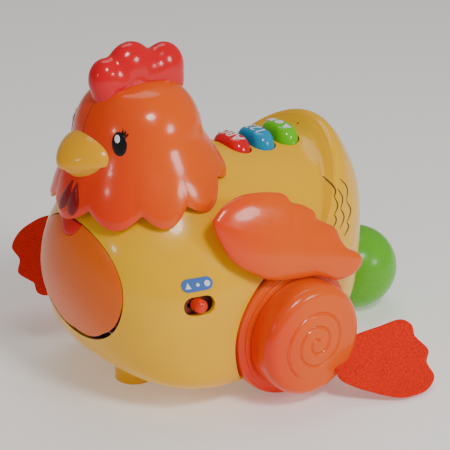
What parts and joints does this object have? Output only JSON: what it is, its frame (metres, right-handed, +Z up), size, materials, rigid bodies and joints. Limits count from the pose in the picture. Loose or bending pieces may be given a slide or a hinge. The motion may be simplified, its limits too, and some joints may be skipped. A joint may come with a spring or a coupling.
{
  "type": "waddling hen toy",
  "caption": "Battery-driven waddling toy hen with drum wheels, felt feet, press buttons and a chest hatch that takes play balls and rolls them out at the tail.",
  "frame": {"origin": "centre of the bounding box in plan, on the floor the wheels stand on", "axes": "the hen faces -Y, +X is its left side, +Z is up"},
  "size_m": [0.2702, 0.276, 0.235],
  "materials": {
    "yellow_plastic": "gloss",
    "orange_plastic": "gloss",
    "wheel_plastic": "gloss",
    "comb_plastic": "gloss",
    "beak_plastic": "gloss",
    "wattle_plastic": "gloss",
    "eye_black": "gloss",
    "lens_red": "clear gloss",
    "blue_plastic": "gloss",
    "green_plastic": "gloss",
    "ball_green": "satin",
    "knob_plastic": "gloss",
    "label_film": "satin",
    "felt_red": "felt",
    "gear_acetal": "satin",
    "inner_plastic": "satin",
    "steel": "bright",
    "brass": "machined",
    "cell_wrap": "gloss",
    "board": "solder mask",
    "led": "diffused"
  },
  "bodies": {
    "body": {"body_shell_left": "yellow_plastic", "body_shell_right": "yellow_plastic", "hood_shell_left": "orange_plastic", "hood_shell_right": "orange_plastic", "comb": "comb_plastic", "beak_upper": "beak_plastic", "beak_lower": "beak_plastic", "wattles": "wattle_plastic", "eyes": "eye_black", "door_hinge_pin": "steel", "chest_led": "led", "axle_bushes": "gear_acetal", "gearbox_left": "inner_plastic", "gearbox_right": "inner_plastic", "idler_shaft": "steel", "motor": "steel", "battery_box": "inner_plastic", "cells": "cell_wrap", "contact_springs": "steel", "contact_plates": "steel", "battery_cover": "yellow_plastic", "cover_screw": "steel", "circuit_board": "board", "speaker": "inner_plastic", "springs_red": "steel", "springs_blue": "steel", "springs_green": "steel", "key_board": "board", "switch_body": "inner_plastic", "mode_label": "label_film", "ball_chute": "yellow_plastic", "front_skid": "yellow_plastic", "case_screws": "steel"},
    "drive": {"drive_axle": "steel", "wheel_left": "wheel_plastic", "wheel_right": "wheel_plastic", "drum_left": "orange_plastic", "drum_right": "orange_plastic", "foot_left": "felt_red", "foot_right": "felt_red", "final_gear": "gear_acetal"},
    "idler": {"idler_gear": "gear_acetal"},
    "pinion": {"motor_pinion": "brass"},
    "red_key": {"button_red": "comb_plastic"},
    "blue_key": {"button_blue": "blue_plastic"},
    "green_key": {"button_green": "green_plastic"},
    "knob": {"mode_knob": "knob_plastic"},
    "door": {"chest_door": "orange_plastic", "chest_lamp_lens": "lens_red"},
    "left_wing": {"wing_left": "orange_plastic", "wing_screw_left": "steel"},
    "right_wing": {"wing_right": "orange_plastic", "wing_screw_right": "steel"},
    "ball": {"ball": "ball_green"}
  },
  "joints": [
    {"name": "axle_spin", "type": "hinge", "parent": "body", "child": "drive", "pos_m": [0, -0.012, 0.045], "axis": [1, 0, 0], "continuous": true},
    {"name": "idler_spin", "type": "hinge", "parent": "body", "child": "idler", "pos_m": [0.043, -0.039, 0.041], "axis": [1, 0, 0], "continuous": true},
    {"name": "pinion_spin", "type": "hinge", "parent": "body", "child": "pinion", "pos_m": [0.049, -0.06061, 0.03313], "axis": [1, 0, 0], "continuous": true},
    {"name": "red_press", "type": "slide", "parent": "body", "child": "red_key", "axis": [0, 0, -1], "range_m": [0, 0.0025], "stiffness_N_per_m": 300, "springref_m": -0.0015, "deforming": ["springs_red"]},
    {"name": "blue_press", "type": "slide", "parent": "body", "child": "blue_key", "axis": [0, 0, -1], "range_m": [0, 0.0025], "stiffness_N_per_m": 300, "springref_m": -0.0015, "deforming": ["springs_blue"]},
    {"name": "green_press", "type": "slide", "parent": "body", "child": "green_key", "axis": [0, 0, -1], "range_m": [0, 0.0025], "stiffness_N_per_m": 300, "springref_m": -0.0015, "deforming": ["springs_green"]},
    {"name": "mode_slide", "type": "slide", "parent": "body", "child": "knob", "axis": [0, 1, 0], "range_m": [-0.004, 0.004]},
    {"name": "door_hinge", "type": "hinge", "parent": "body", "child": "door", "pos_m": [0, -0.121, 0.056], "axis": [1, 0, 0], "range_deg": [0, 25]},
    {"name": "left_wing_flap", "type": "hinge", "parent": "body", "child": "left_wing", "pos_m": [0.074, -0.044, 0.118], "axis": [1, 0, 0], "range_deg": [0, 8]},
    {"name": "right_wing_flap", "type": "hinge", "parent": "body", "child": "right_wing", "pos_m": [-0.074, -0.044, 0.118], "axis": [1, 0, 0], "range_deg": [0, 8]},
    {"name": "ball_roll", "type": "slide", "parent": "body", "child": "ball", "axis": [0, 1, 0], "range_m": [0, 0.06]}
  ],
  "couplings": [
    {"joint": "idler_spin", "follows": "axle_spin", "ratio": -3.5},
    {"joint": "pinion_spin", "follows": "axle_spin", "ratio": 12.6}
  ]
}
